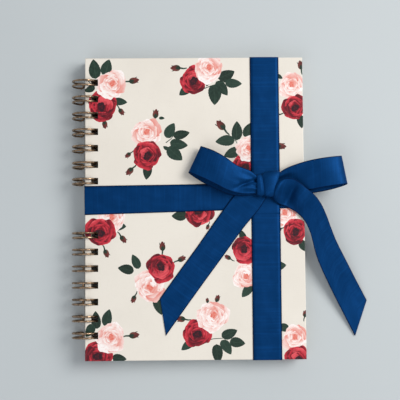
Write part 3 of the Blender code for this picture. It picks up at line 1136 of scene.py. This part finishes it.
def lay_ribbon(name, place, steps, width_steps, closed=False):
    """A ribbon whose cloth runs along place(u, v), u along it and v across it, from 0 to 1.

    Its map, in metres, is where each thread lies on the flat ribbon. Returns the ribbon and the
    length of its middle thread.
    """
    settings = bpy.context.scene.album_ribbon
    cloth = bpy.data.materials.get(RIBBON_CLOTH) or grosgrain_material(settings)
    threads = []
    for j in range(width_steps + 1):
        threads.append([place(i / steps, j / width_steps) for i in range(steps + 1)])
    travels = []
    for thread in threads:
        travel = [0.0]
        for start, end in zip(thread, thread[1:]):
            travel.append(travel[-1] + (end - start).length)
        travels.append(travel)
    bm = bmesh.new()
    bmesh.ops.create_grid(bm, x_segments=steps, y_segments=width_steps, size=0.5)

    def crossing(vertex):
        return round((vertex.co.x + 0.5) * steps), round((vertex.co.y + 0.5) * width_steps)

    laid = bm.loops.layers.uv.new("laid_flat")
    for face in bm.faces:
        face.smooth = True
        for loop in face.loops:
            i, j = crossing(loop.vert)
            loop[laid].uv = (travels[j][i], RIBBON_WIDTH * MM * j / width_steps)
    for vertex in bm.verts:
        i, j = crossing(vertex)
        vertex.co = threads[j][i]
    if closed:
        bmesh.ops.remove_doubles(bm, verts=bm.verts, dist=WELD)
        bmesh.ops.recalc_face_normals(bm, faces=bm.faces)
    made = finish_piece(name, bm, [cloth])
    solid = made.modifiers.new("cloth", "SOLIDIFY")
    solid.thickness = settings.thickness
    solid.offset = 0
    return made, travels[width_steps // 2][-1]


def declare_ribbon(made, length, node):
    """Hangs a ribbon piece on the front cover and hides the CAD node it stands for. Its cut size, length, is not
    used.
    """
    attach(made, "front_cover")
    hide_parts(node)


def rounded(corners, radius, steps=5):
    """A closed outline of 2D corners, each turned with a short curve."""
    outline = []
    count = len(corners)
    for i, corner in enumerate(corners):
        back = corners[i - 1] - corner
        ahead = corners[(i + 1) % count] - corner
        bend = back.angle(ahead)
        reach = min(radius / math.tan(bend / 2), 0.45 * back.length, 0.45 * ahead.length)
        start = corner + back.normalized() * reach
        end = corner + ahead.normalized() * reach
        for step in range(steps + 1):
            t = step / steps
            outline.append(start * (1 - t) ** 2 + corner * 2 * t * (1 - t) + end * t**2)
    return outline


def band_outline(half_length, crossing):
    """A ribbon's closed run round the cover, seen along its width, from the middle underneath.

    Points are (length, height) from the middle of the cover. crossing is (start, end) where it
    rides over another ribbon, or None.
    """
    half = COVER_THICKNESS / 2 + BAND_LIFT
    reach = half_length + BAND_LIFT
    top = [Vector((-reach, half)), Vector((reach, half))]
    if crossing:
        start, end = crossing
        slope = 3 * CROSSING_STEP
        over = half + CROSSING_STEP
        hump = [(start - slope, half), (start, over), (end, over), (end + slope, half)]
        top = [top[0], *[Vector(point) for point in hump], top[1]]
    under = [Vector((point.x, -point.y)) for point in reversed(top)]
    outline = rounded(top + under, BAND_CORNER)
    start = next(i for i, point in enumerate(outline) if point.y < 0 and point.x < half_length * 0.5)
    return outline[start:] + outline[:start]


def make_band(name, middle, turn, half_length, crossing=None, gather=0.0):
    """A ribbon round the front cover, slightly crowned across its width.

    gather draws its first edge in by that many millimetres beyond the knot.
    """
    outline = band_outline(half_length, crossing)
    outline.append(outline[0])
    steps = len(outline) - 1
    along = heading(turn)
    aside = heading(turn + 90)

    def place(u, v):
        point = outline[round(u * steps)]
        drawn_in = gather * (1 - v) * ease(point.x, half_length * 0.60, half_length * 0.80)
        spot = Vector(middle) + along * point.x + aside * ((v - 0.5) * RIBBON_WIDTH + drawn_in)
        crown = BAND_CROWN * math.cos(math.pi * (v - 0.5)) * math.copysign(1, point.y)
        return on_cover(spot.x, spot.y, point.y + crown - COVER_THICKNESS / 2)

    return lay_ribbon(name, place, steps, 8, closed=True)


class ALBUM_OT_ribbon_bands(bpy.types.Operator):
    """Runs the ribbon round the front cover both ways, the upright band on top"""

    bl_idname = "album.ribbon_bands"
    bl_label = "Ribbon Bands"

    def execute(self, context):
        across, length = make_band(
            "navy_band_across", (COVER_WIDTH / 2, ACROSS_BAND_Y), ACROSS_BAND_TURN, COVER_WIDTH / 2,
            gather=BAND_GATHER,
        )
        declare_ribbon(
            across, length, "ribbon_band_horizontal"
        )
        rise = (UPRIGHT_BAND_X - COVER_WIDTH / 2) * math.radians(ACROSS_BAND_TURN)
        crossing_y = ACROSS_BAND_Y + rise
        half = RIBBON_WIDTH / 2 + CROSSING_MARGIN
        upright, length = make_band(
            "navy_band_upright", (UPRIGHT_BAND_X, 0), 90, COVER_HEIGHT / 2,
            crossing=(crossing_y - half, crossing_y + half),
        )
        declare_ribbon(
            upright, length,
            "ribbon_band_vertical",
        )
        return {"FINISHED"}


def lay_between(name, edges, steps, width_steps, shape=None):
    """A ribbon between two edge curves. shape(u, v) lifts it off the line between them, in mm."""
    first, second = [[on_cover(*point) for point in edge] for edge in edges]

    def flat_place(u, v):
        return smooth_through(first, u).lerp(smooth_through(second, u), v)

    def place(u, v):
        start, end = smooth_through(first, u), smooth_through(second, u)
        lift = shape(u, v) if shape else 0
        low, high = max(u - 0.01, 0), min(u + 0.01, 1)
        run = flat_place(high, v) - flat_place(low, v)
        normal = run.cross(end - start).normalized()
        return start.lerp(end, v) + normal * lift * MM

    return lay_ribbon(name, place, steps, width_steps)


LEFT_LOOP = (
    [(134, 20.5, 6.0), (127.1, 26.8, 8.0), (116.4, 31.1, 10.2), (106.7, 37.8, 11.3), (98.6, 42.4, 10.8),
     (91.4, 45.4, 9.0), (88.8, 46.4, 6.4), (91.6, 44.7, 3.7), (99, 40.8, 2.4), (107.5, 35.8, 2.2),
     (116, 29.6, 2.3), (126, 24, 2.8), (134, 20, 3.4)],
    [(133, 10.6, 5.2), (121.2, 9.5, 7.2), (110.0, 11.8, 10.0), (99.8, 16.7, 11.2), (90.8, 21.2, 10.8),
     (82.2, 25.0, 9.0), (79.2, 26.3, 6.4), (81.6, 24.3, 3.7), (90, 19.0, 2.4), (99.5, 14.2, 2.2),
     (110, 9.8, 2.3), (121, 8.4, 2.8), (133, 10, 3.4)],
)
RIGHT_LOOP = (
    [(146, 24, 5.4), (153.3, 28.9, 7.0), (162.9, 32.5, 9.2), (172, 34.9, 10.6), (182, 36.6, 11.4),
     (191.5, 37.8, 10.2), (196.2, 38.3, 6.8), (193, 37.4, 3.6), (184, 35.8, 2.6), (172, 33.2, 2.4),
     (160, 29.2, 2.4), (152, 25.6, 2.6), (146, 22, 3.0)],
    [(145, 12, 3.4), (154, 11.0, 3.0), (164, 11.3, 4.4), (174, 12.8, 7.6), (184, 14.5, 10.4),
     (195.4, 16.0, 10.2), (200.3, 16.7, 6.8), (196, 15.0, 3.6), (187, 12.6, 2.4), (176, 10.6, 1.9),
     (164, 9.6, 1.5), (154, 10.2, 1.4), (145, 12, 1.8)],
)
LEFT_TAIL = (
    [(128, 17, 1.45), (120, 13.5, 1.45), (113.7, 8.7, 1.3), (100, -9.6, 0.7), (85.3, -30.2, 0.45),
     (71, -49.5, 0.4), (56.9, -68.9, 0.4)],
    [(139.5, 10, 1.5), (137.6, 5.4, 1.5), (132, -3, 1.5), (121, -16, 0.9), (104, -39, 0.45),
     (84, -66, 0.4), (61.2, -97.4, 0.4)],
)
RIGHT_TAIL = (
    [(141.5, 12.5, 3.2), (143.0, 7.6, 2.8), (147.4, 2.6, 2.2), (154.6, -0.4, 1.8), (161.6, -4.4, 1.7),
     (167.1, -10.0, 1.6), (170.5, -16.2, 1.4), (173.0, -23.5, 0.9), (175.6, -34, -0.2),
     (179.2, -44, -2.4), (185, -56.5, -4.8), (192, -70.5, -7.5), (207, -99.5, -11.6)],
    [(142.5, 18.0, 5.2), (147.0, 19.0, 7.8), (152.6, 21.0, 9.8), (160.0, 20.2, 10.4),
     (168.1, 14.1, 9.6), (175.2, 8.2, 8.2), (180.2, 1.6, 6.0), (184.2, -6.5, 3.8),
     (188.1, -16.5, 1.4), (192.6, -27, -1.2), (200.2, -41.6, -4.4), (207.6, -55.5, -7.9),
     (216.5, -72, -11.6)],
)


def pleats(depth, v):
    """The height at v of the three pleats that a gathered ribbon's spare width goes into."""
    return depth * math.sin(math.tau * 3 * v + 0.6) * math.sin(math.pi * v) ** 0.5


def loop_gather(u):
    """Both ends of a loop are gathered into the knot."""
    return 0.5 * (1 - ease(min(u, 1 - u), 0.02, 0.20))


def hill(value, middle, spread):
    """A rise to 1 at middle that dies away on both sides."""
    share = (value - middle) / spread
    return math.exp(-share * share)


def left_loop_shape(u, v):
    """A crease runs slantwise from the knot across the top layer, and the rest is crowned."""
    top = 1 - ease(u, 0.38, 0.5)
    crease = hill(v, 0.05 + 5.4 * u, 0.10) * (1 - ease(u, 0.09, 0.17))
    crown = 0.9 * math.sin(math.pi * v) * (1 - ease(u, 0.28, 0.45))
    return pleats(loop_gather(u), v) + top * (crown - 2.1 * crease)


def right_loop_shape(u, v):
    """The top layer dips beside the knot, where the tail crosses it, and is crowned further out."""
    top = 1 - ease(u, 0.38, 0.5)
    dip = hill(v, 0.45, 0.30) * (1 - ease(u, 0.08, 0.26))
    crown = 0.6 * math.sin(math.pi * v) * ease(u, 0.1, 0.3)
    return pleats(loop_gather(u), v) - top * (crown - 1.8 * dip)


def right_tail_shape(u, v):
    """The tail rolls up beside the knot, dips into a valley and then runs out smoothly."""
    gather = 0.35 * (1 - ease(u, 0.0, 0.12))
    roll = hill(u, 0.115, 0.052) * math.sin(math.pi * v) ** 0.6
    valley = hill(u, 0.232 + 0.035 * v, 0.030) * math.sin(math.pi * v**0.8)
    swell = hill(u, 0.335, 0.055) * math.sin(math.pi * v)
    return pleats(gather, v) + 4.6 * roll - 2.8 * valley + 2.6 * swell


# The knot's strap across its width: (share of the way across, lift off the strap in millimetres)
KNOT_PROFILE = [
    Vector(point) for point in (
        (0.22, -1.9), (0.04, -1.6), (-0.02, -0.7), (0.02, 0.05), (0.10, 0.35), (0.20, 0.25),
        (0.29, -0.45), (0.38, 0.40), (0.54, 0.95), (0.72, 1.0), (0.88, 0.65), (0.98, 0.05),
        (1.03, -0.7), (0.96, -1.6), (0.78, -1.9),
    )
]


def knot_place(u, v):
    """The knot's strap: from underneath, up the far side, over the loops and down the near side."""
    angle = math.tau * u - math.pi / 2
    swing, rise = math.cos(angle), math.sin(angle)
    power = KNOT_SQUARENESS
    size = (abs(swing) ** power + abs(rise) ** power) ** (-1 / power)
    outward = Vector((swing / KNOT_HALF_LENGTH, rise / KNOT_HALF_HEIGHT)).normalized()
    across, lift = smooth_through(KNOT_PROFILE, v)
    y = KNOT_Y + KNOT_HALF_LENGTH * swing * size + outward.x * lift
    height = KNOT_HEIGHT + KNOT_HALF_HEIGHT * rise * size + outward.y * lift
    far = (y - KNOT_NEAR_END) / KNOT_SPAN
    left = KNOT_LEFT + 0.8 * far
    right = KNOT_RIGHT + 5.4 * far
    slant = 0.30 * (0.55 - far) * math.sin(math.pi * v) ** 2
    x = left + (right - left) * (across + slant)
    return on_cover(x, y + 0.17 * far * (x - 135), height)


class ALBUM_OT_bow(bpy.types.Operator):
    """Ties the bow: a knot, two loops and two slant-cut tails"""

    bl_idname = "album.bow"
    bl_label = "Bow"

    def execute(self, context):
        loop, length = lay_between("navy_loop_left", LEFT_LOOP, 120, 32, left_loop_shape)
        declare_ribbon(loop, length, "bow_loop_left")
        loop, length = lay_between("navy_loop_right", RIGHT_LOOP, 120, 32, right_loop_shape)
        declare_ribbon(loop, length, "bow_loop_right")
        tail, length = lay_between("navy_tail_left", LEFT_TAIL, 90, 16)
        declare_ribbon(
            tail, length, "bow_tail_left"
        )
        tail, length = lay_between("navy_tail_right", RIGHT_TAIL, 140, 28, right_tail_shape)
        declare_ribbon(tail, length, "bow_tail_right")
        knot, length = lay_ribbon("navy_knot", knot_place, 64, 52, closed=True)
        declare_ribbon(knot, length, "bow_knot")
        return {"FINISHED"}


# Stage


def floor_material(settings):
    material, tree, shader = new_material("pale_floor")
    cloud = ramp(tree, noise(tree, own_places(tree), 3.0, 3.0), 0.3, 0.7)
    darker = tuple(value * 0.96 for value in settings.floor)
    feed(tree, shader.inputs["Base Color"], blend_colour(tree, cloud, settings.floor, darker))
    shader.inputs["Roughness"].default_value = 0.7
    return material


def add_light(name, place, size, power, colour):
    """A round soft light, aimed at the middle of the floor."""
    light = bpy.data.lights.new(name, "AREA")
    light.shape = "DISK"
    light.size = size
    light.energy = power
    light.color = colour
    lamp = bpy.data.objects.new(name, light)
    lamp.location = place
    lamp.rotation_euler = (-lamp.location).to_track_quat("-Z", "Y").to_euler()
    bpy.context.scene.collection.objects.link(lamp)


def add_camera(settings):
    """Looks down on the front cover from slightly below its middle, rolled a little."""
    target = on_cover(*CAMERA_TARGET)
    lean = math.radians(CAMERA_LEAN)
    back = Vector((0, -math.sin(lean), math.cos(lean)))
    camera = bpy.data.cameras.new("camera")
    camera.lens = settings.lens
    camera.sensor_width = 36
    held = bpy.data.objects.new("camera", camera)
    held.location = target + back * settings.distance
    aim = (-back).to_track_quat("-Z", "Y")
    roll = Matrix.Rotation(math.radians(CAMERA_ROLL), 4, "Z").to_quaternion()
    held.rotation_mode = "QUATERNION"
    held.rotation_quaternion = aim @ roll
    bpy.context.scene.collection.objects.link(held)
    bpy.context.scene.camera = held


class ALBUM_OT_stage(bpy.types.Operator):
    """Sets a pale floor, soft studio light and the camera"""

    bl_idname = "album.stage"
    bl_label = "Stage"

    def execute(self, context):
        settings = context.scene.album_stage
        bm = bmesh.new()
        bmesh.ops.create_grid(bm, x_segments=1, y_segments=1, size=4)
        floor = finish_piece("floor", bm, [floor_material(settings)])
        add_light("key", (1.05, 0.40, 1.15), 1.0, 20, (1.0, 0.985, 0.96))
        add_light("fill", (-0.5, -0.9, 1.3), 1.4, 5, (0.93, 0.96, 1.0))
        world = bpy.data.worlds.new("soft_room")
        world.use_nodes = True
        background = world.node_tree.nodes["Background"]
        background.inputs["Color"].default_value = (0.93, 0.96, 1.0, 1)
        background.inputs["Strength"].default_value = 0.42
        context.scene.world = world
        context.scene.view_settings.view_transform = "Standard"
        add_camera(settings)
        return {"FINISHED"}


# Panel and registration


class ALBUM_PT_sidebar(bpy.types.Panel):
    """Lists the album's pieces and their settings"""

    bl_label = "Scrapbook Album"
    bl_idname = "ALBUM_PT_sidebar"
    bl_space_type = "VIEW_3D"
    bl_region_type = "UI"
    bl_category = "Album"

    def draw(self, context):
        for name in SETTINGS:
            box = self.layout.box()
            group = getattr(context.scene, name)
            for label in group.__annotations__:
                box.prop(group, label)
        for operator in OPERATORS:
            self.layout.operator(operator.bl_idname)


SETTINGS = {
    "album_paper": AlbumPaperSettings,
    "album_wire": AlbumWireSettings,
    "album_ribbon": AlbumRibbonSettings,
    "album_stage": AlbumStageSettings,
}
OPERATORS = (
    ALBUM_OT_cover_wraps,
    ALBUM_OT_boards_and_leaves,
    ALBUM_OT_wire_combs,
    ALBUM_OT_ribbon_bands,
    ALBUM_OT_bow,
    ALBUM_OT_stage,
)


def register():
    for name, settings in SETTINGS.items():
        bpy.utils.register_class(settings)
        setattr(bpy.types.Scene, name, PointerProperty(type=settings))
    for kind in (*OPERATORS, ALBUM_PT_sidebar):
        bpy.utils.register_class(kind)


def unregister():
    for kind in (ALBUM_PT_sidebar, *reversed(OPERATORS)):
        bpy.utils.unregister_class(kind)
    for name, settings in reversed(SETTINGS.items()):
        delattr(bpy.types.Scene, name)
        bpy.utils.unregister_class(settings)


def main():
    register()
    bpy.ops.album.cover_wraps()
    bpy.ops.album.boards_and_leaves()
    bpy.ops.album.wire_combs()
    bpy.ops.album.ribbon_bands()
    bpy.ops.album.bow()
    bpy.ops.album.stage()


if __name__ == "__main__":
    main()
